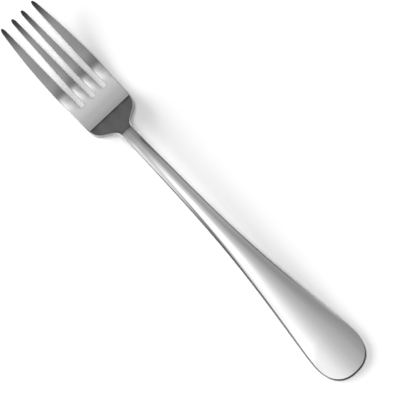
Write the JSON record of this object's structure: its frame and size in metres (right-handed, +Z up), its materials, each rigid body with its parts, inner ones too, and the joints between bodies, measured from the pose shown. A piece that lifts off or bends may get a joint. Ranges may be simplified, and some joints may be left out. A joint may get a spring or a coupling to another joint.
{
  "type": "dinner fork",
  "caption": "Polished stainless steel dinner fork with slender tapered tines, a sloping faceted neck, a thin stem and a broad handle with a rounded end.",
  "frame": {"origin": "on the table under the middle of the fork's length, where it lies with its tines up", "axes": "+X along the fork towards the points of the tines, +Y to the left as seen from the handle, +Z up from the table"},
  "size_m": [0.207, 0.0232, 0.0154],
  "materials": {
    "steel": "mirror-polished 18/10 stainless steel"
  },
  "bodies": {
    "root": {"handle": "steel", "stem": "steel", "neck": "steel", "root": "steel", "outer_tine_left": "steel", "inner_tine_left": "steel", "inner_tine_right": "steel", "outer_tine_right": "steel"}
  },
  "joints": []
}
